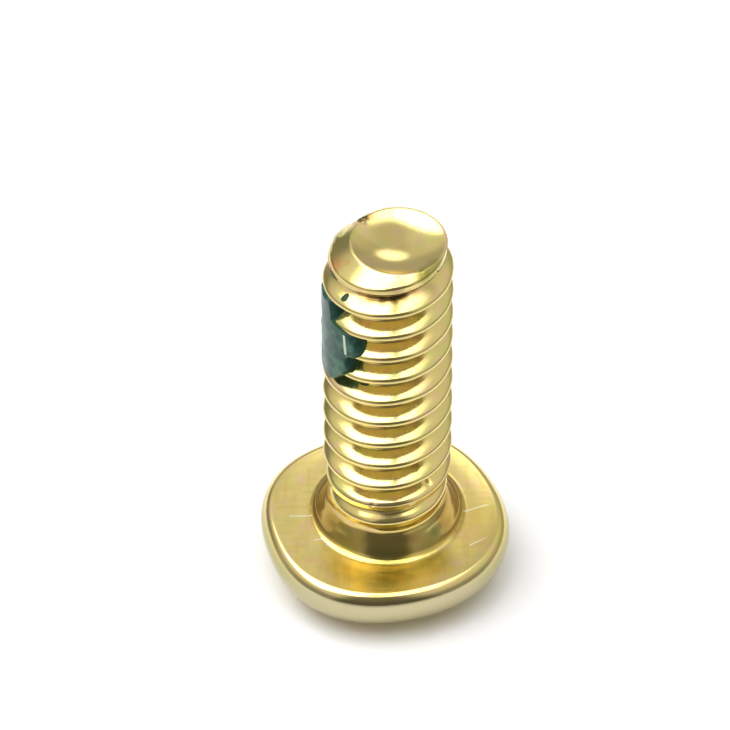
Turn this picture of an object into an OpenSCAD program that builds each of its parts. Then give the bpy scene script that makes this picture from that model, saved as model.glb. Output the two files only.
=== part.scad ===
// Pan head machine screw with a cross recess and a rolled right-hand thread.
// It stands on its head: the origin is the middle of the head's flat end,
// and +Z runs up the axis, through the bearing face, to the tip.
// A coat of thread-locking compound sits on one side of the thread.

/* [Head] */
// Largest diameter of the head
head_d = 5.4; // [5.2:0.05:5.6]
// Height of the head, from its flat end to the bearing face
head_h = 1.4; // [1.38:0.01:1.6]
// Radius that rounds the flat end into the side
head_round = 0.98; // [0.9:0.02:0.98]
// Radius on the edge of the bearing face
rim_round = 0.4; // [0.2:0.01:0.4]

/* [Cross recess] */
// Diameter over the wings at the flat end
recess_d = 2.5; // [2.3:0.05:2.7]
// Depth of the wings
recess_depth = 1; // [0.8:0.05:1.1]
// Width of a wing
wing_w = 0.56; // [0.5:0.02:0.7]
// Slope of the wings' outer ends, from the axis
wing_taper = 26.5; // [20:0.5:30]
// Diameter of the round middle at the flat end
core_d = 1.24; // [1.1:0.02:1.3]
// Depth of the pointed bottom below the wings
recess_point = 0.15; // [0.1:0.01:0.2]

/* [Shank] */
// Length from the bearing face to the tip
shank_len = 7.94; // [7.9:0.02:8]
// Diameter of the plain blank that the thread is rolled on
blank_d = 2.44; // [2.42:0.01:2.48]
// Diameter of the neck where it meets the bearing face
neck_foot_d = 3.17; // [3.05:0.01:3.2]
// Height of the neck, from the bearing face to the plain blank
neck_h = 0.85; // [0.7:0.05:0.95]
// How hollow the neck is: 1 is a straight cone
neck_bend = 1.3; // [1:0.1:2]

/* [Thread] */
// Outside diameter over the crests
crest_d = 2.74; // [2.7:0.01:2.82]
// Rise of the thread in one turn
pitch = 0.635; // [0.62:0.005:0.65]
// Angle between the two flanks of a ridge
flank_angle = 60; // [58:1:62]
// Radius of the rounded crest
crest_round = 0.09; // [0.08:0.005:0.1]
// Radius of the rounded root
root_round = 0.105; // [0.09:0.005:0.115]
// Height of a crest above the bearing face, at the front
crest_phase = 0.1; // [0:0.01:0.6]
// Height above the bearing face where the thread has died out
runout_low = 0.5; // [0.4:0.01:0.6]
// Height above the bearing face where the grooves have their full depth
runout_high = 1.1; // [1:0.05:1.5]
// Height above the bearing face where the crests have their full height
crest_high = 1.8; // [1.6:0.05:2.2]
// Distance from the tip at which the crests start to shrink
lead_in = 0.66; // [0.6:0.01:0.7]
// Distance from the tip at which they are down to the blank
lead_end = 0.38; // [0.34:0.01:0.44]

/* [Tip] */
// Slope of the chamfer that runs down from the dish's edge
tip_slope = 36; // [30:1:45]
// Radius of the dish in the end face
dish_r = 1; // [0.9:0.01:1]
// Depth of the dish
dish_depth = 0.24; // [0.15:0.01:0.3]
// Sideways shift of the dish from the axis
dish_shift = 0.215; // [0.1:0.005:0.22]
// Shift of the dish towards the back
dish_back = 0.055; // [0:0.005:0.1]

/* [Locking patch] */
// Height of the patch's middle above the bearing face
patch_z = 5.5; // [5:0.1:6]
// Half the height of the patch
patch_half_h = 1.55; // [1.2:0.05:1.8]
// Direction of the patch's middle, round from the front
patch_turn = -72; // [-110:1:-60]
// Half the angle that the patch spans
patch_half_turn = 54; // [30:1:60]
// Thickness of the thin edge of the patch
patch_film = 0.015; // [0.01:0.005:0.03]
// Share of the groove's depth that the patch fills at its middle
patch_fill = 0.85; // [0.5:0.05:0.95]

/* [Hidden] */

// Mesh of the shank: flats round one turn, and chords along each crest and root
sides = 36;
arc_chords = 4;
rows = 2 * arc_chords + 2;
// Rings down the hollow neck, and rings across the dish
neck_rings = 5;
dish_rings = 5;
// Smallest height between a row of the thread and a plain ring
row_gap = 0.012;
// How far the neck runs on inside the head
sink = 0.05;
// Overlap of a cutting shape with what it cuts away
cut = 0.1;

head_r = head_d / 2;
blank_r = blank_d / 2;
crest_out = crest_d / 2;

// Section of the thread: arcs on crest and root, joined by straight flanks
arc_half = 90 - flank_angle / 2;
arc_step = 2 * arc_half / arc_chords;
depth = pitch / (2 * tan(flank_angle / 2))
    - (crest_round + root_round) * (1 / sin(flank_angle / 2) - 1);
crest_mid = crest_out - crest_round;
root_mid = crest_out - depth + root_round;

function crest_point(a) = [crest_round * sin(a), crest_mid + crest_round * cos(a)];
function root_point(a) = [pitch / 2 - root_round * sin(a), root_mid - root_round * cos(a)];
// Point i of one pitch, as [height above the crest, radius]
function section(i) =
    i <= arc_chords / 2 ? crest_point(i * arc_step) :
    i <= 3 * arc_chords / 2 + 1 ? root_point((arc_chords + 1 - i) * arc_step) :
    crest_point((i - rows) * arc_step) + [pitch, 0];
section_points = [for (i = [0:rows]) section(i)];

function clamp01(t) = max(0, min(1, t));
function turn_of(j) = 360 * j / sides - 90;
// Height of the thread's crest at flat j, for the crest below all others
function crest_z(j) = crest_phase + pitch * (j / sides - 1);

// Neck: a slightly hollow cone that comes up from the bearing face to the blank
function neck_r(z) = z >= neck_h ? blank_r :
    blank_r + (neck_foot_d / 2 - blank_r) * pow(1 - z / neck_h, neck_bend);

// Radius of the shank at flat j and height z over the bearing face
function groove_r(j, z) =
    let (up = z - crest_z(j)) lookup(up - pitch * floor(up / pitch), section_points);
// Share of the full groove and of the full crest that has grown at a height
function groove_share(z) = clamp01((z - runout_low) / (runout_high - runout_low));
function crest_share(z) = clamp01((z - runout_low) / (crest_high - runout_low));
function lead_r(z) = blank_r
    + (crest_out - blank_r) * clamp01((shank_len - lead_end - z) / (lead_in - lead_end));
// Radius of the chamfer, which keeps its distance from the dish and so stands off the axis
function chamfer_r(j, z) =
    let (
        a = turn_of(j),
        along = dish_shift * cos(a) + dish_back * sin(a),
        aside = dish_back * cos(a) - dish_shift * sin(a),
        reach = dish_r + (shank_len - z) / tan(tip_slope)
    )
    along + sqrt(pow(reach, 2) - pow(aside, 2));
function shank_r(j, z) =
    let (
        grown = (groove_r(j, z) - blank_r) * groove_share(z),
        limit = (crest_out - blank_r) * crest_share(z),
        r = neck_r(z) + min(grown, limit)
    )
    min(r, max(lead_r(z), neck_r(z)), chamfer_r(j, z));

function shank_point(j, z) =
    let (r = shank_r(j, z), a = turn_of(j)) [r * cos(a), r * sin(a), head_h + z];

// Rows of the thread that cross flat j between the neck's rings and the dish's edge
z_low = runout_low;
z_high = shank_len;
function row_z(j, k) = crest_z(j) + pitch * floor(k / rows) + section(k % rows)[0];
last_row = rows * ceil((shank_len + 2 * pitch) / pitch);
function rows_at(j) = [for (k = [0:last_row])
    if (row_z(j, k) > z_low + row_gap && row_z(j, k) < z_high - row_gap) k];

// Plain rings: the neck below the thread, then the dish's edge and the dish above it
neck_levels = [for (i = [0:neck_rings - 1]) -sink + (z_low + sink) * i / (neck_rings - 1)];
function dish_point(j, i) =
    let (
        r = shank_r(j, z_high),
        a = turn_of(j),
        mid = [dish_shift, dish_back],
        f = 1 - (i + 1) / (dish_rings + 1),
        p = mid + f * ([r * cos(a), r * sin(a)] - mid)
    )
    [p[0], p[1], head_h + shank_len - dish_depth * (1 - f * f)];

// One flat of the shank from the bottom up: neck rings, thread rows, edge, dish
function column(j) = concat(
    [for (z = neck_levels) shank_point(j, z)],
    [for (k = rows_at(j)) shank_point(j, row_z(j, k))],
    [shank_point(j, z_high)],
    [for (i = [0:dish_rings - 1]) dish_point(j, i)]);

module shank() {
    columns = [for (j = [0:sides - 1]) column(j)];
    used = [for (j = [0:sides]) rows_at(j)];
    starts = [for (j = 0, s = 0; j < sides; s = s + len(columns[j]), j = j + 1) s];
    total = starts[sides - 1] + len(columns[sides - 1]);
    // Points are counted along flat j from its lowest ring
    function first(j) = starts[j % sides];
    function row(j, k) = first(j) + neck_rings + k - used[j][0];
    function low(j) = first(j) + neck_rings - 1;
    function top(j) = first(j) + neck_rings + len(used[j]);
    function end_of(list) = list[len(list) - 1];
    points = concat([for (c = columns) each c],
        [[dish_shift, dish_back, head_h + shank_len - dish_depth]]);
    faces = concat(
        [[for (j = [sides - 1:-1:0]) first(j)]],
        [for (j = [0:sides - 1]) let (
            a0 = used[j][0], a1 = end_of(used[j]),
            b0 = used[j + 1][0], b1 = end_of(used[j + 1]))
            each concat(
                [for (i = [0:neck_rings - 2]) each quad(first(j) + i, first(j + 1) + i)],
                [[low(j), low(j + 1), row(j + 1, b0)]],
                [for (k = [b0:1:a0 - 1]) [low(j), row(j + 1, k), row(j + 1, k + 1)]],
                [[low(j), row(j + 1, a0), row(j, a0)]],
                [for (k = [a0:b1 - 1]) each quad(row(j, k), row(j + 1, k))],
                [for (k = [b1:1:a1 - 1]) [row(j, k), top(j + 1), row(j, k + 1)]],
                [[row(j, b1), row(j + 1, b1), top(j + 1)]],
                [[row(j, a1), top(j + 1), top(j)]],
                [for (i = [0:dish_rings - 1]) each quad(top(j) + i, top(j + 1) + i)],
                [[top(j) + dish_rings, top(j + 1) + dish_rings, total]])]);
    polyhedron(points, [for (f = faces) [for (i = [len(f) - 1:-1:0]) f[i]]]);
}

// Two triangles between a point on one flat and its neighbour, and the points above both
function quad(a, b) = [[a, b, b + 1], [a, b + 1, a + 1]];

module head() {
    rotate_extrude($fn = 96) difference() {
        square([head_r, head_h]);
        translate([head_r - head_round, head_round]) mirror([0, 1]) corner(head_round);
        translate([head_r - rim_round, head_h - rim_round]) corner(rim_round);
    }
}

// The square corner outside a quarter circle
module corner(r) {
    difference() {
        square(r + cut);
        circle(r, $fn = 96);
    }
}

// Cross of four wings with sloping ends, round a middle that ends in a point
module recess() {
    wing_low_r = recess_d / 2 + cut * tan(wing_taper);
    wing_high_r = recess_d / 2 - recess_depth * tan(wing_taper);
    intersection() {
        translate([0, 0, -cut])
            cylinder(h = recess_depth + cut, r1 = wing_low_r, r2 = wing_high_r, $fn = 64);
        union() for (a = [0, 90]) rotate(a)
            translate([-recess_d, -wing_w / 2, -cut])
                cube([2 * recess_d, wing_w, recess_depth + cut]);
    }
    translate([0, 0, -cut]) cylinder(h = recess_depth + cut, d = core_d, $fn = 64);
    translate([0, 0, recess_depth]) cylinder(h = recess_point, d1 = core_d, d2 = 0, $fn = 64);
}

module screw() {
    color([0.79, 0.66, 0.33]) union() {
        difference() {
            head();
            recess();
        }
        shank();
    }
}

// How deep inside the patch's oval outline a spot lies: 1 at the middle, 0 on the edge
function patch_depth(j, z) =
    let (turn = turn_of(j) + 90 - patch_turn)
    1 - pow((turn - 360 * round(turn / 360)) / patch_half_turn, 2)
      - pow((z - patch_z) / patch_half_h, 2);
// Point k of flat j on the patch's outer face: a film, thicker over the grooves
function patch_point(j, k) =
    let (
        z = row_z(j, k),
        r = shank_r(j, z),
        fill = patch_fill * sqrt(clamp01(patch_depth(j, z))),
        out = r + patch_film + fill * (crest_out - r),
        a = turn_of(j)
    )
    [out * cos(a), out * sin(a), head_h + z];

module locking_patch() {
    // Flats and rows that the patch may reach, with one to spare all round
    j0 = floor((patch_turn - patch_half_turn) * sides / 360) - 1;
    j1 = ceil((patch_turn + patch_half_turn) * sides / 360) + 1;
    k0 = rows * floor((patch_z - patch_half_h) / pitch);
    k1 = rows * ceil((patch_z + patch_half_h) / pitch + 2);
    nk = k1 - k0 + 1;
    n = (j1 - j0 + 1) * nk;
    function id(j, k) = (j - j0) * nk + k - k0;
    // A cell of the mesh is part of the patch when its middle is inside the outline
    function inside(j, k) = patch_depth(j + 0.5, row_z(j + 0.5, k + 0.5)) > 0;
    points = concat(
        [for (j = [j0:j1], k = [k0:k1]) shank_point(j, row_z(j, k))],
        [for (j = [j0:j1], k = [k0:k1]) patch_point(j, k)]);
    function wall(a, b) = [[a, b, b + n], [a, b + n, a + n]];
    faces = [for (j = [j0:j1 - 1], k = [k0:k1 - 1]) if (inside(j, k))
        let (a = id(j, k), b = id(j + 1, k)) each concat(
            [[a + n, b + n, b + 1 + n], [a + n, b + 1 + n, a + 1 + n]],
            [[b, a, b + 1], [b + 1, a, a + 1]],
            inside(j, k - 1) ? [] : wall(a, b),
            inside(j, k + 1) ? [] : wall(b + 1, a + 1),
            inside(j - 1, k) ? [] : wall(a + 1, a),
            inside(j + 1, k) ? [] : wall(b, b + 1))];
    color([0.15, 0.36, 0.30])
        polyhedron(points, [for (f = faces) [f[2], f[1], f[0]]]);
}

screw();
locking_patch();
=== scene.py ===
"""Dresses the packed machine screw, standing on its head, for a close-up under soft light.

The screw is built as one closed mesh with its rolled thread, dished tip, hollow neck and cross
recess, and the dried thread-locking compound as a second piece that clings to the thread.
All lengths are in metres, in the packed model's own frame.
"""

import math

import bpy
from bpy.props import FloatProperty, FloatVectorProperty, PointerProperty
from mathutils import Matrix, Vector, noise


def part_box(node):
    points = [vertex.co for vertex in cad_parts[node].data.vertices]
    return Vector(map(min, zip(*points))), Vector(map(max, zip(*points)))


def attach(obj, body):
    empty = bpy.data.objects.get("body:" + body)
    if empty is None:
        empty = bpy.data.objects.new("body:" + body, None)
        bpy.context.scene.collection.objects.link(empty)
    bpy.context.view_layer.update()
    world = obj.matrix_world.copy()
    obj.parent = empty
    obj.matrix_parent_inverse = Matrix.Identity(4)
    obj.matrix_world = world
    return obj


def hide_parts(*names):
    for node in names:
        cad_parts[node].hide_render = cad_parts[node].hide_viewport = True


bl_info = {
    "name": "Machine Screw",
    "version": (1, 0, 0),
    "blender": (4, 5, 0),
    "location": "View3D > Sidebar > Screw",
    "description": "Pan head machine screw with a rolled thread and a patch of locking compound",
    "category": "Add Mesh",
}

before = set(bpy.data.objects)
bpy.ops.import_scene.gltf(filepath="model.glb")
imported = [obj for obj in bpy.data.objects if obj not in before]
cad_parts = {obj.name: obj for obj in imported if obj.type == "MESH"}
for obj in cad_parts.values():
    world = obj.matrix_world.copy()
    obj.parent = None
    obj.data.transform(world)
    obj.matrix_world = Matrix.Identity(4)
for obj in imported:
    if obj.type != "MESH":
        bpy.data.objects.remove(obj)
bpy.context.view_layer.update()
SCREW_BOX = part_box("screw")
MM = 0.001
TURN = 2 * math.pi
COLUMNS = 288  # points round the screw
PATCH_RADIUS = 1.37 * MM  # where the compound's outline is measured, at the crests


# Properties

def length(name, description, default):
    """A length in metres that a user can change."""
    return FloatProperty(name=name, description=description, default=default, min=0.0,
                         precision=6, unit="LENGTH", subtype="DISTANCE")


def angle(name, description, degrees):
    """An angle that a user can change, shown in degrees."""
    return FloatProperty(name=name, description=description, default=math.radians(degrees),
                         unit="ROTATION", subtype="ANGLE")


def colour(name, description, default):
    """A colour in scene-linear red, green and blue that a user can change."""
    return FloatVectorProperty(name=name, description=description, default=default, size=3,
                               min=0.0, max=1.0, subtype="COLOR")


class HeadSizes(bpy.types.PropertyGroup):
    """Sizes of the pan head and its recess."""

    diameter: length("Diameter", "Largest diameter of the head", SCREW_BOX[1].x - SCREW_BOX[0].x)
    height: length("Height", "From the flat end to the bearing face", 1.4 * MM)
    end_radius: length("End radius", "Rounding of the flat end, up the side", 0.96 * MM)
    end_width: length("End width", "Rounding of the flat end, across the head", 1.28 * MM)
    rim_width: length("Rim width", "Rounding of the bearing face's edge, across", 0.30 * MM)
    rim_height: length("Rim height", "Rounding of the bearing face's edge, down", 0.40 * MM)
    face_fall: length("Face fall", "How far the bearing face falls toward its edge", 0.035 * MM)
    shift: FloatVectorProperty(
        name="Shift", description="How far the head sits off the shank's axis",
        default=(-0.06 * MM, -0.05 * MM, 0.0), size=3, precision=6, unit="LENGTH")
    recess_span: length("Recess span", "Width over the wings of the cross", 2.5 * MM)
    recess_depth: length("Recess depth", "Depth of the wings", 1.0 * MM)
    wing_width: length("Wing width", "Width of one wing", 0.56 * MM)
    wing_taper: angle("Wing taper", "Slope of the wings' outer ends, from the axis", 26.5)
    core_diameter: length("Core diameter", "Round middle of the recess", 1.24 * MM)
    core_point: length("Core point", "Depth of the pointed bottom below the wings", 0.15 * MM)


class ThreadSizes(bpy.types.PropertyGroup):
    """Sizes of the shank and its rolled thread."""

    crest_diameter: length("Crest diameter", "Outside diameter over the crests", 2.74 * MM)
    blank_diameter: length("Blank diameter", "Plain blank the thread is rolled on", 2.44 * MM)
    pitch: length("Pitch", "Rise of the thread in one turn", 0.635 * MM)
    flank_angle: angle("Flank angle", "Angle between the two flanks of a ridge", 60)
    crest_radius: length("Crest radius", "Rounding of a crest", 0.085 * MM)
    root_radius: length("Root radius", "Rounding of a root", 0.105 * MM)
    first_crest: length("First crest", "Height of a crest over the bearing face, in front",
                        0.1 * MM)
    neck_diameter: length("Neck diameter", "Foot of the hollow neck on the bearing face",
                          3.17 * MM)
    neck_height: length("Neck height", "From the bearing face to the plain blank", 0.66 * MM)
    neck_bend: FloatProperty(
        name="Neck bend", description="How hollow the neck is: 1 is a straight cone",
        default=1.15, min=1.0, max=2.0)
    foot_radius: length("Foot radius", "Fillet where the neck meets the face", 0.25 * MM)
    runout_low: length("Run-out low", "Height where the thread has died out", 0.5 * MM)
    runout_high: length("Run-out high", "Height where the grooves have their full depth",
                        1.1 * MM)
    crest_high: length("Crest high", "Height where the crests have their full height",
                       1.8 * MM)
    lead_in: length("Lead-in", "Distance from the tip where the crests start to shrink",
                    0.66 * MM)
    lead_end: length("Lead end", "Distance from the tip where they are down to the blank",
                     0.38 * MM)
    crest_waver: length("Crest waver", "How much the crests waver in height", 0.009 * MM)


class TipSizes(bpy.types.PropertyGroup):
    """Sizes of the rim and the dish at the tip."""

    edge_radius: length("Edge radius", "Rounding between the dish and the chamfer", 0.05 * MM)
    dish_radius: length("Dish radius", "Radius of the dish in the end face", 1.0 * MM)
    dish_depth: length("Dish depth", "Depth of the dish", 0.24 * MM)
    dish_shift: FloatVectorProperty(
        name="Dish shift", description="How far the dish sits off the axis",
        default=(0.215 * MM, 0.055 * MM, 0.0), size=3, precision=6, unit="LENGTH")
    chamfer_angle: angle("Chamfer angle", "Slope of the chamfer round the dish", 36)


class CompoundSizes(bpy.types.PropertyGroup):
    """Sizes of the dried thread-locking compound."""

    film: length("Film", "Thickness of the compound over the crests", 0.024 * MM)
    pool_rise: length("Pool rise", "How far the filled grooves stand over the crests",
                      0.022 * MM)
    edge_width: length("Edge width", "Width over which the film dies out", 0.12 * MM)
    brim_width: length("Brim width", "Width of the slope round the filled grooves", 0.09 * MM)
    brim_depth: length("Brim depth", "Drop of that slope", 0.40 * MM)
    root_hold: length("Root hold", "How far the compound's back reaches into the plating",
                      0.02 * MM)
    ragged: length("Ragged", "How far the outline strays in and out", 0.025 * MM)
    swell: length("Swell", "How far the filled grooves rise and fall", 0.012 * MM)


class Finish(bpy.types.PropertyGroup):
    """Colours of the plating and the compound, painted shade among them."""

    straw: colour("Straw", "Plain yellow plating", (0.81, 0.645, 0.245))
    # Amber: a real tint on the bearing face, and painted shade in the roots of the thread and on
    # the neck
    amber_and_shade: colour("Amber", "Thick plating on the neck and in the roots of the thread",
                  (0.74, 0.52, 0.10))
    green_gold: colour("Green gold", "Green tint that plays over the plating",
                       (0.68, 0.66, 0.22))
    rose_gold: colour("Rose gold", "Pink tint that plays over the plating",
                      (0.86, 0.58, 0.34))
    # Painted shade along the undersides of the crests
    painted_underside_shade: colour("Under rose", "Dull pink along the undersides of the crests",
                       (0.56, 0.40, 0.20))
    # Olive: a real stain in places, and painted shade on the bearing face in front, on the neck,
    # the shank and the head's side
    olive_and_shade: colour("Olive", "Dull green-brown plating", (0.38, 0.34, 0.08))
    rust: colour("Rust", "Orange-brown stains", (0.74, 0.42, 0.15))
    # Painted shadow in the groove next to the tip
    painted_groove_shadow: colour("Burnt", "Red-brown stain in the groove next to the tip", (0.20, 0.085, 0.015))
    # Painted shade on the sides and back of the neck and in the crease at its foot
    painted_crease_shade: colour("Bronze", "Dull brown on both sides of the neck", (0.40, 0.25, 0.06))
    # Painted shade in nicks and corners
    painted_nick_shade: colour("Soot", "Dark specks in nicks and corners", (0.14, 0.09, 0.03))
    lemon: colour("Lemon", "Bright yellow stains", (0.95, 0.72, 0.10))
    pale_zinc: colour("Pale zinc", "Thin pale plating on the side of the head",
                      (0.46, 0.42, 0.28))
    bare_zinc: colour("Bare zinc", "Bright scratches in the bearing face", (1.0, 0.92, 0.62))
    compound_deep: colour("Compound, deep", "Thick compound in the grooves",
                          (0.010, 0.062, 0.045))
    compound_thin: colour("Compound, thin", "Thin film over the crests", (0.055, 0.175, 0.105))
    compound_edge: colour("Compound, edge", "Specks and thin edges", (0.02, 0.055, 0.008))
    # Painted highlight along the compound
    painted_highlight: colour("Gleam", "Pale streak along the compound", (0.66, 0.78, 0.62))


class Studio(bpy.types.PropertyGroup):
    """Camera and light."""

    elevation: angle("Elevation", "How far above the horizon the camera stands", 45.0)
    distance: length("Distance", "From the lens to the middle of the shank", 170 * MM)
    middle: length("Middle", "Height of the point that the camera is set on", 5.4 * MM)
    slide: length("Slide", "How far the camera is moved to its left", 0.480 * MM)
    rise: length("Rise", "How far the camera is moved up", 0.251 * MM)
    focal: FloatProperty(name="Focal length", description="Lens, in millimetres",
                         default=398.05, min=1.0, unit="CAMERA")
    ceiling: FloatProperty(name="Ceiling light", description="Radiance of the ceiling panels",
                           default=5.2, min=0.0)
    walls: FloatProperty(name="Walls", description="Radiance of the pale walls all round",
                         default=0.72, min=0.0)
    paper: colour("Paper", "White paper under the screw", (0.92, 0.92, 0.92))
    # Paper in the painted shadow, in front of the picture and far to its sides
    shadowed_paper: colour("Paper, far", "Duller paper outside the picture", (0.52, 0.52, 0.52))


GROUPS = {
    "screw_head": HeadSizes,
    "screw_thread": ThreadSizes,
    "screw_tip": TipSizes,
    "screw_compound": CompoundSizes,
    "screw_finish": Finish,
    "screw_studio": Studio,
}


# Forms

def clamp(value, low=0.0, high=1.0):
    """The value, held between two limits."""
    return max(low, min(high, value))


def smooth(value):
    """A soft step from 0 to 1 as the value goes from 0 to 1."""
    value = clamp(value)
    return value * value * (3 - 2 * value)


def bump(distance, half_width):
    """A soft bump: 1 at distance 0, falling to 0 at the half width."""
    return smooth(1 - abs(distance) / half_width)


def turn_between(a, b):
    """The shorter way from turn b to turn a, in turns."""
    return (a - b + 0.5) % 1.0 - 0.5


def around(radius, turn, height):
    """A point at a radius from the axis, counting turns from the front to the right."""
    direction = TURN * (turn - 0.25)
    return (radius * math.cos(direction), radius * math.sin(direction), height)


def arc(radius, start, end, chords):
    """Points of an arc about the origin, as (across, up) pairs, from start to end degrees."""
    steps = [math.radians(start + (end - start) * i / chords) for i in range(chords + 1)]
    return [(radius * math.cos(a), radius * math.sin(a)) for a in steps]


class ShankForm:
    """The neck and the rolled thread: a radius for each turn and height over the face."""

    crest_chords = 6
    flank_chords = 3
    waver_length = 0.45 * MM

    def __init__(self, head, thread, tip):
        self.base = head.height
        self.top = SCREW_BOX[1].z - head.height
        self.thread = thread
        self.tip = tip
        self.blank = thread.blank_diameter / 2
        self.crest = thread.crest_diameter / 2
        self.flare = thread.neck_diameter / 2 - self.blank
        self.pitch = thread.pitch
        half = thread.flank_angle / 2
        self.flank_slope = 1 / math.tan(half)
        self.crest_reach = thread.crest_radius * math.cos(half)
        self.root_reach = thread.root_radius * math.cos(half)
        depth = (self.pitch / 2 * self.flank_slope
                 - (thread.crest_radius + thread.root_radius) * (1 / math.sin(half) - 1))
        self.crest_middle = self.crest - thread.crest_radius
        self.root_middle = self.crest - depth + thread.root_radius
        self.root = self.crest - depth
        self.heights = self.section_heights()
        self.rows = len(self.heights)

    def section_heights(self):
        """Heights of the rows in one pitch, above a crest: closer on the rounded parts."""
        chords = self.crest_chords
        crest = [self.crest_reach * i / (chords / 2) for i in range(chords // 2 + 1)]
        root = [self.pitch / 2 - self.root_reach * (1 - i / (chords / 2))
                for i in range(chords // 2 + 1)]
        gap = root[0] - crest[-1]
        flank = [crest[-1] + gap * i / self.flank_chords for i in range(1, self.flank_chords)]
        half = crest + flank + root
        return half + [self.pitch - up for up in reversed(half[1:-1])]

    def section(self, up):
        """Radius of a full thread at a height above a crest."""
        up = up % self.pitch
        up = min(up, self.pitch - up)
        if up <= self.crest_reach:
            return self.crest_middle + math.sqrt(self.thread.crest_radius ** 2 - up ** 2)
        down = self.pitch / 2 - up
        if down <= self.root_reach:
            return self.root_middle - math.sqrt(self.thread.root_radius ** 2 - down ** 2)
        edge = self.crest_middle + math.sqrt(
            self.thread.crest_radius ** 2 - self.crest_reach ** 2)
        return edge - (up - self.crest_reach) * self.flank_slope

    def under(self, k):
        """1 for a row of points just under a crest, falling to 0 on the crest and the flank."""
        below = self.pitch - self.heights[k % self.rows]
        return bump(below - 1.1 * self.crest_reach, 1.1 * self.crest_reach)

    def crest_height(self, turn):
        """Height over the face of the crest one pitch below the first, at a turn."""
        return self.thread.first_crest + self.pitch * (turn - 1)

    def row_height(self, turn, k):
        """Height of row k, counted up from that crest, at a turn."""
        return (self.crest_height(turn) + self.pitch * (k // self.rows)
                + self.heights[k % self.rows])

    def neck(self, up):
        """Radius of the plain shank: a slightly hollow cone down to the bearing face."""
        thread = self.thread
        return self.blank + self.flare * max(0.0, 1 - up / thread.neck_height) ** thread.neck_bend

    def foot(self, chords=10):
        """Radius where the foot's fillet leaves the face, and its (radius, height) pairs."""
        small = self.thread.foot_radius
        steep = math.atan(self.thread.neck_height / self.flare / self.thread.neck_bend)
        start = self.flare + self.blank + small * math.tan(steep / 2)
        return start, [(start + across, small + up)
                       for across, up in arc(small, 270, 270 - math.degrees(steep), chords)]

    def chamfer(self, turn, up):
        """Largest radius that the chamfer round the dish leaves."""
        shift_x, shift_y, _ = self.tip.dish_shift
        reach = self.tip.dish_radius + (self.top - up) / math.tan(self.tip.chamfer_angle)
        x, y, _ = around(1.0, turn, 0.0)
        along = x * shift_x + y * shift_y
        aside = x * shift_y - y * shift_x
        return along + math.sqrt(max(0.0, reach ** 2 - aside ** 2))

    def radius(self, turn, up):
        """Radius of the finished shank."""
        thread = self.thread
        deep = clamp((up - thread.runout_low) / (thread.runout_high - thread.runout_low))
        grown = clamp((up - thread.runout_low) / (thread.crest_high - thread.runout_low))
        groove = self.section(up - self.crest_height(turn % 1.0))
        radius = self.neck(up) + min((groove - self.blank) * deep,
                                     (self.crest - self.blank) * grown)
        radius = min(radius, self.chamfer(turn, up))
        led = clamp((self.top - thread.lead_end - up) / (thread.lead_in - thread.lead_end))
        limit = self.blank + (self.crest - self.blank) * led
        return min(radius, max(limit, self.neck(up)))

    def worn_radius(self, turn, up):
        """Radius of the shank with its slight waver and its nicks."""
        radius = self.radius(turn, up)
        x, y, z = around(self.crest, turn, up)
        waver = noise.noise(Vector((x, y, 3 * z)) / self.waver_length)
        crest_share = smooth((radius - self.root) / (self.crest - self.root))
        radius += waver * self.thread.crest_waver * crest_share
        for nick_turn, nick_up, size, deep in SHANK_NICKS:
            across = turn_between(turn, nick_turn / 360) * TURN * self.crest
            far = math.hypot(across, up - nick_up * MM) / (size * MM)
            if far < 1:
                radius -= deep * MM * smooth(1 - far)
        return radius


class EdgeForm:
    """The rounded edge between the chamfer and the dish, and the dish inside it."""

    def __init__(self, shank, tip):
        self.shank = shank
        self.tip = tip
        self.outer = tip.chamfer_angle
        self.inner = math.atan(2 * tip.dish_depth / tip.dish_radius)
        half = (self.outer + self.inner) / 2
        lean = (self.outer - self.inner) / 2
        sink = tip.edge_radius / math.cos(half)
        self.centre = (-sink * math.sin(lean), -sink * math.cos(lean))
        chords = 5
        self.tilts = [self.outer - 2 * half * i / chords for i in range(chords + 1)]
        reach = tip.edge_radius * math.tan(half)
        gap = 0.02 * MM
        self.low = shank.top - reach * math.sin(self.outer) - gap
        self.start = 1 - (reach * math.cos(self.inner) + gap) / tip.dish_radius

    def rounding(self, turn, tilt):
        """A point of the rounding whose normal leans outward by an angle."""
        small = self.tip.edge_radius
        out = self.shank.chamfer(turn, self.shank.top) + self.centre[0] + small * math.sin(tilt)
        up = self.shank.top + self.centre[1] + small * math.cos(tilt)
        return self.worn(around(out, turn, self.shank.base + up))

    def dish(self, turn, part):
        """A point of the dish, at a part of the way from its middle to its edge."""
        shift_x, shift_y, _ = self.tip.dish_shift
        x, y, _ = around(self.shank.chamfer(turn, self.shank.top), turn, 0.0)
        deep = self.tip.dish_depth * (1 - part ** 2)
        return self.worn((shift_x + (x - shift_x) * part, shift_y + (y - shift_y) * part,
                          self.shank.base + self.shank.top - deep))

    def worn(self, point):
        """The point, let down where the edge is nicked."""
        x, y, up = point
        for turn, out, size, deep in EDGE_NICKS:
            nick_x, nick_y, _ = around(out * MM, turn / 360, 0.0)
            far = math.hypot(x - nick_x, y - nick_y) / (size * MM)
            up -= deep * MM * smooth(1 - far)
        return x, y, up


# Nicks in the edge of the dish: degrees round from the front, distance from the axis, size
# and depth in millimetres
EDGE_NICKS = (
    (219, 0.93, 0.13, 0.06),
    (228, 0.99, 0.07, -0.03),
    (40, 1.02, 0.10, 0.03),
)

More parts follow.
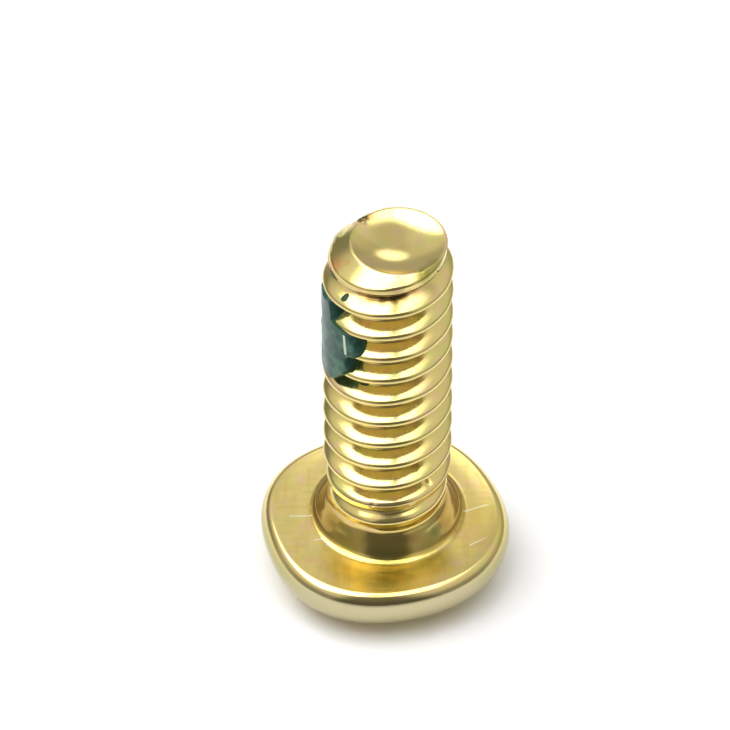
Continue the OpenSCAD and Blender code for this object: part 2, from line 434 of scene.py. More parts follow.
# Nicks in the shank: degrees round from the front, then height over the bearing face,
# size and depth in millimetres
SHANK_NICKS = (
    (47, 1.66, 0.13, 0.05),
    (57, 7.70, 0.08, 0.05),
    (31, 2.30, 0.10, 0.03),
    (-14, 1.42, 0.10, 0.012),
    (150, 3.9, 0.14, 0.03),
    (230, 5.2, 0.12, 0.03),
)

# Flats round the head: degrees round from the front, half width in degrees, depth in
# millimetres
HEAD_FLATS = (
    (14, 46, 0.112),
    (115, 45, 0.10),
    (204, 42, 0.14),
    (286, 36, 0.10),
)


class HeadForm:
    """The pan head, slightly out of round, with a cross recess in its flat end."""

    def __init__(self, head):
        self.head = head
        waste = 0.005 * MM  # the flats take this off nearly all round
        self.radius = head.diameter / 2 + waste

    def outline(self, turn):
        """Distance from the shank's axis to the head's edge."""
        flats = sum(depth * MM * bump(turn_between(turn, at / 360), half / 360)
                    for at, half, depth in HEAD_FLATS)
        x, y, _ = around(1.0, turn, 0.0)
        return self.radius - flats + x * self.head.shift[0] + y * self.head.shift[1]

    def recess_outline(self, turn, up):
        """Distance from the axis to the wall of the cross at a height in the head."""
        head = self.head
        end = head.recess_span / 2 - up * math.tan(head.wing_taper)
        quarter = abs(turn_between(4 * turn, 0.0)) / 4 * TURN
        side = head.wing_width / 2 / max(math.sin(quarter), 1e-6)
        return max(head.core_diameter / 2, min(end, side))


# Meshes

class RingMesh:
    """Builds one closed mesh from columns of points that stand side by side round the axis."""

    def __init__(self, columns):
        self.columns = columns
        self.points = []
        self.faces = []
        self.under = {}

    def add(self, point):
        """Adds a point and returns its number."""
        self.points.append(point)
        return len(self.points) - 1

    def ring(self, make):
        """Adds one point for each column and returns their numbers."""
        return [self.add(make(j / self.columns)) for j in range(self.columns)]

    def level(self, radius, height):
        """Adds a ring at a height, from its radius at each turn."""
        return self.ring(lambda t: around(radius(t), t, height))

    def cap(self, centre, ring, upward):
        """Closes a ring with triangles to a centre point."""
        for j in range(self.columns):
            a, b = ring[j], ring[(j + 1) % self.columns]
            self.faces.append((centre, a, b) if upward else (centre, b, a))

    def band(self, low, high):
        """Joins two rings with four-sided faces."""
        for j in range(self.columns):
            k = (j + 1) % self.columns
            self.faces.append((low[j], low[k], high[k], high[j]))

    def stack(self, rings):
        """Joins rings in their order and returns the last."""
        for low, high in zip(rings, rings[1:]):
            self.band(low, high)
        return rings[-1]


def mesh_object(name, points, faces, material):
    """A new mesh object in the scene, smooth, with one material."""
    mesh = bpy.data.meshes.new(name)
    mesh.from_pydata(points, [], faces)
    mesh.materials.append(material)
    mesh.shade_smooth()
    piece = bpy.data.objects.new(name, mesh)
    bpy.context.scene.collection.objects.link(piece)
    return piece


def head_rings(build, form, shank):
    """Rings of the head: recess, flat end, side, bearing face and the fillet of the neck."""
    head = form.head
    core = head.core_diameter / 2
    bottom = build.add((0.0, 0.0, head.recess_depth + head.core_point))
    chamfer = 0.03 * MM
    rings = [
        build.level(lambda t: 0.5 * core, head.recess_depth + 0.5 * head.core_point),
        build.level(lambda t: 0.97 * core, head.recess_depth),
    ]
    build.cap(bottom, rings[0], upward=False)
    wall_steps = 6
    for i in range(wall_steps + 1):
        up = head.recess_depth + (chamfer - head.recess_depth) * i / wall_steps
        rings.append(build.level(lambda t, up=up: form.recess_outline(t, up), up))
    rings.append(build.level(lambda t: form.recess_outline(t, 0.0) + chamfer, 0.0))
    flat_steps = 4
    for i in range(1, flat_steps + 1):
        def flat(t, part=i / flat_steps):
            inner = form.recess_outline(t, 0.0) + chamfer
            return inner + (form.outline(t) - head.end_width - inner) * part
        rings.append(build.level(flat, 0.0))
    widen = head.end_width / head.end_radius
    for across, up in arc(head.end_radius, -90, 0, 16)[1:]:
        rings.append(build.level(
            lambda t, across=across: form.outline(t) - head.end_width + across * widen,
            head.end_radius + up))
    rim_top = head.height - head.face_fall
    for across, up in arc(1.0, 0, 90, 14)[1:]:
        rings.append(build.level(
            lambda t, across=across: form.outline(t) - head.rim_width * (1 - across),
            rim_top - head.rim_height * (1 - up)))
    foot = shank.foot()[0]
    face_steps = 18
    for i in range(1, face_steps + 1):
        part = i / face_steps

        def face(t, part=part):
            outer = form.outline(t) - head.rim_width
            return outer + (foot - outer) * part
        rings.append(build.level(face, head.height - head.face_fall * (1 - part) ** 3))
    return rings


def shank_columns(build, shank, low_height, high_height):
    """Adds the rows of the thread, which climb round the shank, between two heights."""
    gap = 0.004 * MM
    last = shank.rows * math.ceil(shank.top / shank.pitch + 2)
    spans = []
    numbers = []
    for j in range(build.columns):
        turn = j / build.columns
        used = [k for k in range(last)
                if low_height + gap < shank.row_height(turn, k) < high_height - gap]
        spans.append((used[0], used[-1]))
        first = len(build.points)
        for k in used:
            up = shank.row_height(turn, k)
            point = build.add(around(shank.worn_radius(turn, up), turn, shank.base + up))
            build.under[point] = shank.under(k)
        numbers.append(first - used[0])
    return spans, numbers


def join_thread(build, shank, low, high, spans, numbers):
    """Joins the climbing rows to each other and to the plain rings below and above them."""
    columns = build.columns
    for j in range(columns):
        n = (j + 1) % columns
        climb = -shank.rows if n == 0 else 0
        a0, a1 = spans[j]
        b0, b1 = spans[n][0] + climb, spans[n][1] + climb

        def here(k, base=numbers[j]):
            return base + k

        def there(k, base=numbers[n] - climb):
            return base + k

        build.faces.append((low[j], low[n], there(b0)))
        for k in range(b0, a0):
            build.faces.append((low[j], there(k), there(k + 1)))
        build.faces.append((low[j], there(max(a0, b0)), here(a0)))
        for k in range(a0, b1):
            build.faces.append((here(k), there(k), there(k + 1), here(k + 1)))
        for k in range(b1, a1):
            build.faces.append((here(k), high[n], here(k + 1)))
        build.faces.append((here(b1), there(b1), high[n]))
        build.faces.append((here(a1), high[n], high[j]))


def build_screw(head, thread, tip, material):
    """The whole screw as one closed mesh."""
    shank = ShankForm(head, thread, tip)
    form = HeadForm(head)
    build = RingMesh(COLUMNS)
    rings = head_rings(build, form, shank)
    fillet = shank.foot()[1]
    for radius, up in fillet[1:]:
        rings.append(build.level(lambda t, radius=radius: radius, head.height + up))
    foot_top = fillet[-1][1]
    neck_steps = 6
    for i in range(1, neck_steps + 1):
        up = foot_top + (thread.runout_low - foot_top) * i / neck_steps
        rings.append(build.level(lambda t, up=up: shank.worn_radius(t, up), head.height + up))
    low = build.stack(rings)
    edge = EdgeForm(shank, tip)
    spans, numbers = shank_columns(build, shank, thread.runout_low, edge.low)
    rim_rings = [build.level(lambda t: shank.worn_radius(t, edge.low), head.height + edge.low)]
    join_thread(build, shank, low, rim_rings[0], spans, numbers)
    for tilt in edge.tilts:
        rim_rings.append(build.ring(lambda t, tilt=tilt: edge.rounding(t, tilt)))
    dish_steps = 16
    for i in range(dish_steps):
        rim_rings.append(build.ring(
            lambda t, part=edge.start * (1 - i / dish_steps): edge.dish(t, part)))
    build.stack(rim_rings)
    middle = build.add(edge.dish(0.0, 0.0))
    build.cap(middle, rim_rings[-1], upward=True)
    piece = mesh_object("plated_screw", build.points, build.faces, material)
    # Marks the points just under a crest, for the painted shade along the crests' undersides
    under = piece.data.attributes.new("under_crest", "FLOAT", "POINT")
    under.data.foreach_set("value", [build.under.get(n, 0.0) for n in range(len(build.points))])
    return piece


# Outline of the patch of compound: degrees round from the front, and height over the bearing
# face in millimetres
PATCH_OUTLINE = (
    (-31, 6.27), (-34, 6.34), (-38, 6.38), (-45, 6.40), (-54, 6.42), (-56, 6.70), (-60, 6.98),
    (-72, 6.85), (-84, 6.95), (-100, 6.70), (-112, 6.10), (-108, 5.10), (-94, 4.60), (-76, 4.50),
    (-60, 4.56), (-51, 4.74), (-42, 5.06), (-36, 5.22), (-34, 5.36), (-37, 5.50), (-36, 5.62),
    (-30, 5.74), (-23, 5.86), (-23, 5.96), (-29, 6.10),
)

# Specks of compound: degrees round from the front, height over the bearing face, then half
# width and half height in millimetres
COMPOUND_SPECKS = (
    (-48, 7.14, 0.11, 0.06),
    (-51, 6.33, 0.10, 0.07),
    (-43, 6.70, 0.09, 0.05),
    (-33, 4.76, 0.26, 0.05),
    (-70, 4.16, 0.26, 0.13),
    (-68, 7.43, 0.30, 0.10),
)


def patch_depth(across, up):
    """How far inside the patch's outline a spot lies: negative outside it."""
    inside = False
    near = 10 * MM
    corners = [(TURN * at / 360 * PATCH_RADIUS, height * MM) for at, height in PATCH_OUTLINE]
    for (x0, y0), (x1, y1) in zip(corners, corners[1:] + corners[:1]):
        run, rise = x1 - x0, y1 - y0
        part = clamp(((across - x0) * run + (up - y0) * rise) / (run * run + rise * rise))
        near = min(near, math.hypot(across - x0 - part * run, up - y0 - part * rise))
        if (y0 > up) != (y1 > up) and across < x0 + (up - y0) / rise * run:
            inside = not inside
    return near if inside else -near


def compound_cover(turn, up, sizes):
    """How far inside the compound's outline a spot lies, and how far inside the pool."""
    across = TURN * turn_between(turn, 0.0) * PATCH_RADIUS
    x, y, z = around(1.0, turn, up / MM)
    ragged = sizes.ragged * noise.noise(Vector((x, y, z)) * 6.0)
    pool = patch_depth(across, up) + ragged
    cover = pool
    for at, height, half_wide, half_high in COMPOUND_SPECKS:
        side = (across - TURN * at / 360 * PATCH_RADIUS) / half_wide
        rise = (up - height * MM) / half_high
        cover = max(cover, (1 - math.hypot(side, rise) / MM) * half_high * MM + ragged)
    return cover, pool


def build_compound(head, thread, tip, sizes, material):
    """The dried compound: a film over the crests and a pool in the grooves."""
    shank = ShankForm(head, thread, tip)
    first_column, last_column = -125, 0  # as far round as the compound may reach
    lowest, highest = 3.6 * MM, shank.top - 0.02 * MM
    low_row = shank.rows * math.floor(lowest / shank.pitch)
    high_row = shank.rows * math.ceil(shank.top / shank.pitch + 1)
    points, faces, numbers, above = [], [], {}, {}
    depths = []
    for j in range(first_column, last_column + 1):
        for k in range(low_row, high_row + 1):
            turn = j / COLUMNS
            up = shank.row_height(turn, k)
            if up > highest:
                continue
            cover, pool = compound_cover(turn, up, sizes)
            if cover < -sizes.edge_width:
                continue
            bare = shank.worn_radius(turn % 1.0, up)
            film = sizes.film * (2 * smooth(0.5 + cover / sizes.edge_width) - 1)
            slope = max(0.0, 1 - pool / sizes.brim_width)
            x, y, z = around(1.0, turn, up / MM)
            swell = sizes.swell * noise.noise(Vector((x, y, 0.7 * z)) * 2.5)
            brim = shank.crest + sizes.pool_rise + swell - sizes.brim_depth * slope ** 1.6
            outer = max(bare + film, brim)
            above[j, k] = outer - bare > -0.5 * sizes.film
            inner = bare - sizes.root_hold
            numbers[j, k] = len(points)
            points.append(around(max(outer, inner + 0.2 * sizes.root_hold), turn,
                                 shank.base + up))
            points.append(around(inner, turn, shank.base + up))
            depths += [max(outer - bare, 0.5 * pool), 0.0]
    cells = {(j, k) for (j, k) in numbers
             if all(c in numbers for c in ((j + 1, k), (j, k + 1), (j + 1, k + 1)))
             and any(above[c] for c in ((j, k), (j + 1, k), (j, k + 1), (j + 1, k + 1)))}
    for j, k in cells:
        a, b = numbers[j, k], numbers[j + 1, k]
        c, d = numbers[j + 1, k + 1], numbers[j, k + 1]
        faces.append((a, b, c, d))
        faces.append((d + 1, c + 1, b + 1, a + 1))
        for near, one, two in (((j, k - 1), a, b), ((j + 1, k), b, c),
                               ((j, k + 1), c, d), ((j - 1, k), d, a)):
            if near not in cells:
                faces.append((one + 1, two + 1, two, one))
    used = sorted({n for face in faces for n in face})
    place = {n: i for i, n in enumerate(used)}
    piece = mesh_object("locking_compound", [points[n] for n in used],
                        [tuple(place[n] for n in face) for face in faces], material)
    thickness = piece.data.attributes.new("thickness", "FLOAT", "POINT")
    thickness.data.foreach_set("value", [depths[n] / MM for n in used])
    return piece


# Shader maths

class Field:
    """An output socket of a node tree, with the operators that shader maths needs."""

    def __init__(self, tree, socket):
        self.tree = tree
        self.socket = socket

    def node(self, kind, settings=None, inputs=None, output=0):
        """Adds a node: its settings come first, then values or links for its sockets.

        A node that ends a tree has no output, and gives a field with no socket.
        """
        made = self.tree.nodes.new(kind)
        for name, value in (settings or {}).items():
            setattr(made, name, value)
        for name, value in (inputs or {}).items():
            socket = made.inputs[name]
            if isinstance(value, Field):
                self.tree.links.new(value.socket, socket)
            else:
                socket.default_value = value
        return Field(self.tree, made.outputs[output] if made.outputs else None)

    def math(self, operation, first, second=0.0):
        """Adds a Math node."""
        return self.node("ShaderNodeMath", {"operation": operation}, {0: first, 1: second})

    def vector(self, operation, first, second=(0.0, 0.0, 0.0), output=0):
        """Adds a Vector Math node; output 1 is the number that some operations give."""
        return self.node("ShaderNodeVectorMath", {"operation": operation},
                         {0: first, 1: second}, output)

    def parts(self):
        """The x, y and z of this vector."""
        split = self.node("ShaderNodeSeparateXYZ", None, {0: self}).socket.node
        return [Field(self.tree, part) for part in split.outputs]

    def __add__(self, other):
        return self.math("ADD", self, other)

    def __radd__(self, other):
        return self.math("ADD", other, self)

    def __sub__(self, other):
        return self.math("SUBTRACT", self, other)

    def __rsub__(self, other):
        return self.math("SUBTRACT", other, self)

    def __mul__(self, other):
        return self.math("MULTIPLY", self, other)

    def __rmul__(self, other):
        return self.math("MULTIPLY", other, self)

    def __truediv__(self, other):
        return self.math("DIVIDE", self, other)

    def __rtruediv__(self, other):
        return self.math("DIVIDE", other, self)

    def root(self):
        """The square root."""
        return self.math("SQRT", self)

    def size(self):
        """The value without its sign."""
        return self.math("ABSOLUTE", self)

    def at_least(self, limit):
        """The value, or the limit where that is more."""
        return self.math("MAXIMUM", self, limit)

    def step(self, low, high):
        """A soft step from 0 at low to 1 at high; high may be the lower of the two."""
        return self.node("ShaderNodeMapRange",
                         {"interpolation_type": "SMOOTHSTEP", "clamp": True},
                         {"Value": self, "From Min": low, "From Max": high})

    def mix(self, tone, factor):
        """This colour, turning into a plain one as the factor goes from 0 to 1."""
        return self.node("ShaderNodeMix", {"data_type": "RGBA"},
                         {"Factor": factor, 6: self, 7: (*tone, 1.0)}, output=2)


class Surface(Field):
    """A new material's node tree, with the places that every finish starts from."""

    def __init__(self, name):
        self.material = bpy.data.materials.new(name)
        self.material.use_nodes = True
        tree = self.material.node_tree
        super().__init__(tree, None)
        self.shader = next(n for n in tree.nodes if n.type == "BSDF_PRINCIPLED")
        self.place = self.node("ShaderNodeTexCoord", output=3)

    def axes(self):
        """The object's x, y and z, in millimetres."""
        return [part * (1 / MM) for part in self.place.parts()]

    def two_tone(self, first, second, factor):
        """A plain colour, turning into another as the factor goes from 0 to 1."""
        return self.node("ShaderNodeMix", {"data_type": "RGBA"}, {
            "Factor": factor, 6: (*first, 1.0), 7: (*second, 1.0)}, output=2)

    def mottle(self, size_mm, detail=2.0, place=None, **more):
        """Soft noise with features of about a size in millimetres."""
        return self.node("ShaderNodeTexNoise", None, {
            "Vector": place or self.place, "Scale": 1 / (size_mm * MM), "Detail": detail,
            **more})

    def vertex_value(self, name):
        """A number that each point of the mesh carries."""
        return self.node("ShaderNodeAttribute", {"attribute_name": name}, output=2)

    def spot(self, centre_mm, radius_mm):
        """1 at a point of the object, falling softly to 0 at a radius."""
        far = self.vector("DISTANCE", self.place, tuple(c * MM for c in centre_mm), output=1)
        return far.step(radius_mm * MM, 0.25 * radius_mm * MM)

    def line(self, start_mm, end_mm, half_width_mm):
        """1 on a line between two points of the object, falling softly to 0 beside it."""
        start, end = Vector(start_mm) * MM, Vector(end_mm) * MM
        run = end - start
        offset = self.vector("SUBTRACT", self.place, tuple(start))
        part = self.vector("DOT_PRODUCT", offset, tuple(run / run.length_squared), output=1)
        part = self.node("ShaderNodeClamp", None, {"Value": part})
        nearest = self.node("ShaderNodeVectorMath", {"operation": "SCALE"},
                            {0: tuple(run), "Scale": part})
        far = self.vector("DISTANCE", offset, nearest, output=1)
        return far.step(half_width_mm * MM, 0.3 * half_width_mm * MM)

    def relief(self, height, strength, rise_mm):
        """Makes the light see a fine relief with a height."""
        self.set("Normal", self.node("ShaderNodeBump", None, {
            "Strength": strength, "Distance": rise_mm * MM, "Height": height}))

    def set(self, name, value):
        """Links a field to a socket of the shader, or sets a plain value on it."""
        socket = self.shader.inputs[name]
        if isinstance(value, Field):
            self.tree.links.new(value.socket, socket)
        else:
            socket.default_value = value


# Stains and painted shade in the plating: degrees round from the front, distance from the axis,
# height over the bearing face and radius in millimetres, then the colour and its share
STAINS = (
    # Bearing face: the olive in front is painted shade that dims the face's reflection of the
    # shank
    (80, 2.10, 0.0, 1.20, "amber_and_shade", 0.35),
    (0, 1.92, 0.0, 0.80, "olive_and_shade", 0.90),
    (-26, 1.95, 0.0, 0.70, "olive_and_shade", 0.55),
    (34, 1.85, 0.0, 0.60, "olive_and_shade", 0.60),
    (8, 2.10, 0.0, 0.16, "rust", 0.30),
    (-12, 2.05, 0.0, 0.40, "green_gold", 0.40),
    (20, 1.95, 0.0, 0.35, "green_gold", 0.35),
    (-16, 2.34, 0.0, 0.22, "lemon", 0.50),
    # Neck: the olive on both sides of it is painted shade
    (24, 1.42, 0.39, 0.16, "rust", 0.60),
    (45, 1.42, 0.35, 0.30, "green_gold", 0.70),
    (45, 1.42, 0.35, 0.20, "olive_and_shade", 0.50),
    (-40, 1.40, 0.30, 0.30, "olive_and_shade", 0.45),
    # Right of the chamfer
    (48, 1.22, 7.50, 0.34, "olive_and_shade", 0.75),
    (40, 1.16, 7.86, 0.30, "olive_and_shade", 0.95),
    (56, 1.20, 7.84, 0.34, "olive_and_shade", 0.75),
    # Painted shade in nicks in the crests, and a green tint in a groove
    (47, 1.28, 1.66, 0.08, "painted_nick_shade", 0.70),
    (32, 1.10, 2.27, 0.12, "painted_nick_shade", 0.60),
    (-30, 1.07, 2.74, 0.35, "green_gold", 0.80),
    # Groove next to the tip with a painted shadow in it, and painted shade in a nick at its right
    (-30, 1.06, 7.31, 0.22, "rust", 0.90),
    (-20, 1.06, 7.34, 0.20, "painted_groove_shadow", 0.80),
    (-7, 1.06, 7.36, 0.20, "painted_groove_shadow", 0.90),
    (6, 1.06, 7.38, 0.21, "painted_groove_shadow", 0.95),
    (18, 1.06, 7.41, 0.20, "painted_groove_shadow", 0.85),
    (30, 1.06, 7.45, 0.20, "rust", 0.90),
    (12, 1.02, 7.40, 0.20, "painted_nick_shade", 0.60),
    (-14, 1.00, 7.40, 0.16, "painted_nick_shade", 0.60),
    (60, 1.22, 7.68, 0.08, "painted_nick_shade", 0.80),
    # Left of the chamfer, and the burr behind with painted shade in its hollow
    (-72, 1.20, 7.66, 0.34, "rust", 0.90),
    (-62, 1.00, 7.86, 0.14, "rust", 0.70),
    (-110, 1.14, 7.78, 0.40, "olive_and_shade", 0.30),
    (211, 0.90, 7.92, 0.13, "painted_nick_shade", 1.00),
    (219, 0.95, 7.92, 0.13, "painted_nick_shade", 1.00),
    (203, 0.88, 7.93, 0.12, "rust", 0.80),
    (228, 1.00, 7.90, 0.12, "rust", 0.90),
)

# Painted highlight along the compound: its two ends and its half width, in millimetres
PAINTED_HIGHLIGHT = ((-0.885, -1.07, 7.16), (-0.925, -1.05, 7.64), 0.045)

# Scratches on the bearing face: two ends, across and toward the back, in millimetres
SCRATCHES = (
    ((-2.08, -0.21), (-1.61, -0.21)),
    ((1.60, -0.10), (2.41, 0.26)),
    ((1.76, -1.07), (2.40, -0.63)),
    ((-1.55, -0.92), (-1.33, -0.88)),
)


def plating_material(finish, head):
    """Yellow-passivated zinc: mirror-like, straw coloured, with a play of faint tints and painted
    shade.
    """
    surface = Surface("yellow_plating")
    x, y, z = surface.axes()
    face_up = head.height / MM
    up = z - face_up
    out = surface.vector("LENGTH", surface.vector(
        "MULTIPLY", surface.place, (1 / MM, 1 / MM, 0.0)), output=1)
    on_head = up.step(0.05, 0.02)
    on_side = on_head * out.step(2.3, 2.62) * up.step(-0.1, -0.3)
    on_face = on_head * up.step(-0.06, -0.02)

    # Tints that play over the whole screw
    cloud = surface.mottle(0.7, detail=3.0, Roughness=0.6)
    drift = surface.mottle(0.33, Distortion=0.6)
    grain = surface.mottle(0.05)
    tint = surface.two_tone(finish.straw, finish.green_gold, cloud.step(0.48, 0.62) * 0.55)
    tint = tint.mix(finish.rose_gold, drift.step(0.52, 0.66) * 0.6)

    # Painted shade on the shank: darker amber in the roots of the thread and over the neck
    below_thread = up.step(0.75, 0.45)
    in_root = out.step(1.30, 1.12) * up.step(0.4, 0.9) * up.step(7.75, 7.5)
    tint = tint.mix(finish.amber_and_shade, in_root * 0.15)
    on_neck = out.step(1.66, 1.58) * up.step(0.0, 0.06) * below_thread
    tint = tint.mix(finish.amber_and_shade, on_neck * (0.55 + 0.35 * cloud.step(0.40, 0.60)))
    # Painted shade: brown on the neck's sides and back and in the crease at its foot
    back = y / out
    on_foot = out.step(1.69, 1.65) * back.step(-0.60, -0.42)
    on_cone = out.step(1.60, 1.55) * back.step(-0.80, -0.50)
    beside = on_foot.at_least(on_cone) * below_thread * up.step(-0.02, -0.01)
    tint = tint.mix(finish.painted_crease_shade, beside * 0.85)
    # Painted shade: olive on the shank's left and right sides, more on the left
    painted_side_shade = (x.size() / out).step(0.78, 0.97) * up.step(0.6, 0.9)
    tint = tint.mix(finish.olive_and_shade, painted_side_shade * (0.28 - 0.16 * x.step(-0.5, 0.5)))
    # Painted shade: pink-brown along the undersides of the crests
    under = surface.vertex_value("under_crest")
    tint = tint.mix(finish.painted_underside_shade, under * (0.45 + 0.4 * drift.step(0.45, 0.60)))

    # Stains and painted shade, the brushed bearing face, the pale side of the head with its
    # painted shade, and scratches
    for degrees, far, height, radius, name, share in STAINS:
        place = around(far, degrees / 360, face_up + height)
        tint = tint.mix(getattr(finish, name), surface.spot(place, radius) * share)
    for squeeze in ((0.20, 1.0, 1.0), (1.0, 0.20, 1.0)):
        streaks = surface.mottle(
            0.15, place=surface.vector("MULTIPLY", surface.place, squeeze))
        tint = tint.mix(finish.amber_and_shade, on_face * streaks.step(0.48, 0.70) * 0.35)
        tint = tint.mix(finish.lemon, on_face * streaks.step(0.46, 0.26) * 0.25)
    tint = tint.mix(finish.pale_zinc, on_side * 0.85)
    # Painted shade on the head's side: olive toward the floor, and at its left and right
    tint = tint.mix(finish.olive_and_shade, on_side * z.step(1.10, 0.30) * 0.5)
    tint = tint.mix(finish.olive_and_shade, on_side * x.size().step(1.7, 2.6) * 0.60)
    scratched = sum((surface.line((*start, face_up), (*end, face_up), 0.03)
                     for start, end in SCRATCHES), 0.0)
    tint = tint.mix(finish.bare_zinc, scratched * 0.8)
    surface.set("Base Color", tint)
    surface.set("Metallic", 1.0)
    surface.set("Roughness", 0.09 + 0.08 * grain + 0.12 * on_face)
    wear = surface.mottle(0.25, detail=4.0, Roughness=0.7)
    surface.relief(grain * (0.3 - 0.26 * on_face) + wear * 0.7 - scratched * 0.15,
                   strength=0.25, rise_mm=0.004)
    return surface.material


def compound_material(finish):
    """Dried thread-locking compound: glossy, dark teal, lighter where it is thin, with a painted
    highlight along it.
    """
    surface = Surface("locking_compound")
    thick = surface.vertex_value("thickness")
    cloud = surface.mottle(0.3, detail=3.0)
    patchy = surface.mottle(0.38, detail=3.0)
    tint = surface.two_tone(finish.compound_thin, finish.compound_deep,
                            (thick + cloud * 0.05).step(0.04, 0.12))
    tint = tint.mix(finish.compound_thin, patchy.step(0.46, 0.62) * 0.85)
    tint = tint.mix(finish.compound_edge, thick.step(0.05, 0.02) * 0.85)
    # Painted highlight: a pale streak along the compound
    tint = tint.mix(finish.painted_highlight, surface.line(*PAINTED_HIGHLIGHT))
    surface.set("Base Color", tint)
    surface.set("Roughness", 0.22 + 0.2 * cloud)
    surface.set("Specular IOR Level", 0.25)
    surface.relief(surface.mottle(0.12), strength=0.3, rise_mm=0.01)
    return surface.material


def floor_material(studio):
    """White paper with a painted shadow: darker in front of the picture and far to its sides."""
    surface = Surface("white_paper")
    x, y, _ = surface.axes()
    # Painted shadow: the paper is darker in front of the picture and far to its sides
    lit = y.step(-13.0, -7.0) * (0.4 + 0.6 * x.size().step(18.0, 9.0))
    surface.set("Base Color", surface.two_tone(studio.shadowed_paper, studio.paper, lit))
    surface.set("Roughness", 0.9)
    surface.set("Specular IOR Level", 0.1)
    return surface.material


# Stage

def build_floor(material):
    """A pale floor under the screw, whose paper carries a painted shadow."""
    half = 600 * MM
    piece = mesh_object(
        "floor", [(-half, -half, 0), (half, -half, 0), (half, half, 0), (-half, half, 0)],
        [(0, 1, 2, 3)], material)


def build_camera(studio):
    """The camera, in front of the screw and looking down on it."""
    data = bpy.data.cameras.new("camera")
    data.lens = studio.focal
    data.sensor_width = 36.0
    data.clip_start = 0.01
    data.clip_end = 20.0
    camera = bpy.data.objects.new("camera", data)
    bpy.context.scene.collection.objects.link(camera)
    back = Vector((0.0, -math.cos(studio.elevation), math.sin(studio.elevation)))
    up = Vector((0.0, math.sin(studio.elevation), math.cos(studio.elevation)))
    camera.location = (Vector((-studio.slide, 0.0, studio.middle)) + studio.distance * back
                       + studio.rise * up)
    camera.rotation_mode = "QUATERNION"
    camera.rotation_quaternion = (-back).to_track_quat("-Z", "Y")
    bpy.context.scene.camera = camera


def build_light(studio):
    """Soft light all round: a pale room, a bright ceiling with a narrow gap in it, and the
    dark front that the camera looks out of."""
    world = bpy.data.worlds.new("soft_room")
    world.use_nodes = True
    bpy.context.scene.world = world
    world.node_tree.nodes.clear()
    room = Field(world.node_tree, None)
    x, y, z = room.node("ShaderNodeTexCoord", output=0).parts()
    up = z.at_least(0.02)
    across, along = x / up, y / up
    # Ceiling: bright above, with a darker wedge behind and a narrow gap in front
    wide = across.step(-1.20, -0.80) * across.step(0.79, 0.15) * (1 - 0.3 * across.step(0.0, 0.1))
    gap = across.step(-0.14, -0.03) * across.step(0.12, 0.01) \
        * along.step(-0.16, -0.22) * along.step(-0.50, -0.45)
    off = across - 0.1
    wedge = along - (off * off + 0.0625).root()
    ceiling = wide * wedge.step(-0.06, -0.20) * along.step(-0.60, -0.47) * (1 - 0.9 * gap)
    # Walls: paler behind than in front, and paler above than near the floor
    front = y.step(0.3, -0.3)
    low_wall = 0.58 - 0.16 * front
    walls = low_wall + (studio.walls - low_wall) * z.step(0.15, 0.80)
    walls = walls + (0.30 - 0.06 * x) * x.size().step(0.25, 0.62) * z.step(0.25, 0.55)
    behind = y.step(0.2, 0.5) * z.step(0.35, 0.50)
    left = x.step(-0.02, -0.22) * x.step(-0.55, -0.35)
    walls = walls + behind * (0.04 + 0.18 * left)
    walls = walls - 0.20 * x.step(-0.40, -0.60) * z.step(0.44, 0.30) * y.step(0.2, 0.5)
    glow_z = (z - 0.53) / 0.17
    glow_x = (x - 0.08) / 0.24
    glow = (glow_z * glow_z + glow_x * glow_x).step(1.0, 0.1) * y.step(0.0, 0.2)
    walls = walls + 2.1 * glow
    # The dark front that the camera looks out of: narrow above, wider below
    aside = x.size() / (0 - y).at_least(0.02)
    reach = 0.75 - 0.45 * z
    dark = (aside - reach).step(0.26, -0.16) * z.step(0.90, 0.86) * z.step(-0.02, 0.03) \
        * y.step(0.0, -0.1)
    lit = walls + (studio.ceiling - walls) * ceiling
    light = lit * (1 - 0.66 * dark)
    background = room.node("ShaderNodeBackground", None, {"Strength": light})
    room.node("ShaderNodeOutputWorld", None, {"Surface": background})


# Operators

def settings(context):
    """The six property groups, by name."""
    return {name: getattr(context.scene, name) for name in GROUPS}


class SCREW_OT_stage(bpy.types.Operator):
    """Set up the floor, the camera and the light"""

    bl_idname = "machine_screw.stage"
    bl_label = "Stage"

    def execute(self, context):
        studio = settings(context)["screw_studio"]
        build_floor(floor_material(studio))
        build_camera(studio)
        build_light(studio)
        view = context.scene.view_settings
        view.view_transform = "Standard"
        view.look = "None"
        return {"FINISHED"}


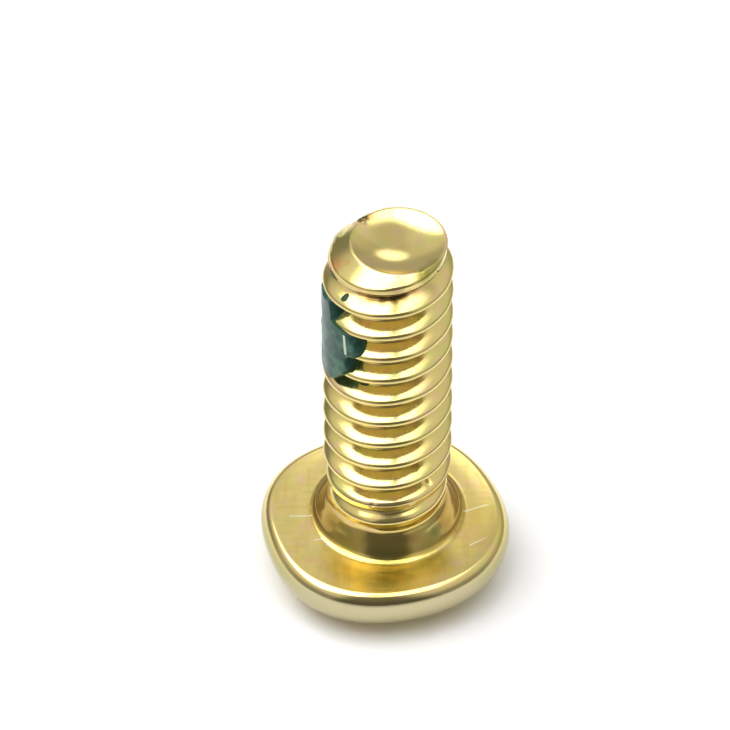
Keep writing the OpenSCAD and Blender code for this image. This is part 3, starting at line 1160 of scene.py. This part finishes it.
class SCREW_OT_screw(bpy.types.Operator):
    """Build the plated screw in place of its plain solid"""

    bl_idname = "machine_screw.screw"
    bl_label = "Plated screw"

    def execute(self, context):
        sizes = settings(context)
        material = plating_material(sizes["screw_finish"], sizes["screw_head"])
        piece = build_screw(sizes["screw_head"], sizes["screw_thread"], sizes["screw_tip"],
                            material)
        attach(piece, "root")
        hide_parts("screw")
        return {"FINISHED"}


class SCREW_OT_compound(bpy.types.Operator):
    """Lay the dried thread-locking compound on the thread"""

    bl_idname = "machine_screw.compound"
    bl_label = "Locking compound"

    def execute(self, context):
        sizes = settings(context)
        piece = build_compound(sizes["screw_head"], sizes["screw_thread"], sizes["screw_tip"],
                               sizes["screw_compound"],
                               compound_material(sizes["screw_finish"]))
        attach(piece, "root")
        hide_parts("locking_patch")
        return {"FINISHED"}


class SCREW_PT_panel(bpy.types.Panel):
    """The screw's sizes and the buttons that build it"""

    bl_idname = "SCREW_PT_panel"
    bl_label = "Machine Screw"
    bl_space_type = "VIEW_3D"
    bl_region_type = "UI"
    bl_category = "Screw"

    def draw(self, context):
        for operator in OPERATORS:
            self.layout.operator(operator.bl_idname)
        for name, group in settings(context).items():
            box = self.layout.box()
            box.label(text=GROUPS[name].__doc__)
            for prop in group.bl_rna.properties:
                if prop.identifier not in ("rna_type", "name"):
                    box.prop(group, prop.identifier)


OPERATORS = (SCREW_OT_stage, SCREW_OT_screw, SCREW_OT_compound)
CLASSES = (*GROUPS.values(), *OPERATORS, SCREW_PT_panel)


def register():
    """Makes the panel, the buttons and the property groups known to Blender."""
    for made in CLASSES:
        bpy.utils.register_class(made)
    for name, group in GROUPS.items():
        setattr(bpy.types.Scene, name, PointerProperty(type=group))


def unregister():
    """Takes them away again."""
    for name in GROUPS:
        delattr(bpy.types.Scene, name)
    for made in reversed(CLASSES):
        bpy.utils.unregister_class(made)


def main():
    """Builds the whole scene."""
    register()
    bpy.ops.machine_screw.stage()
    bpy.ops.machine_screw.screw()
    bpy.ops.machine_screw.compound()


if __name__ == "__main__":
    main()
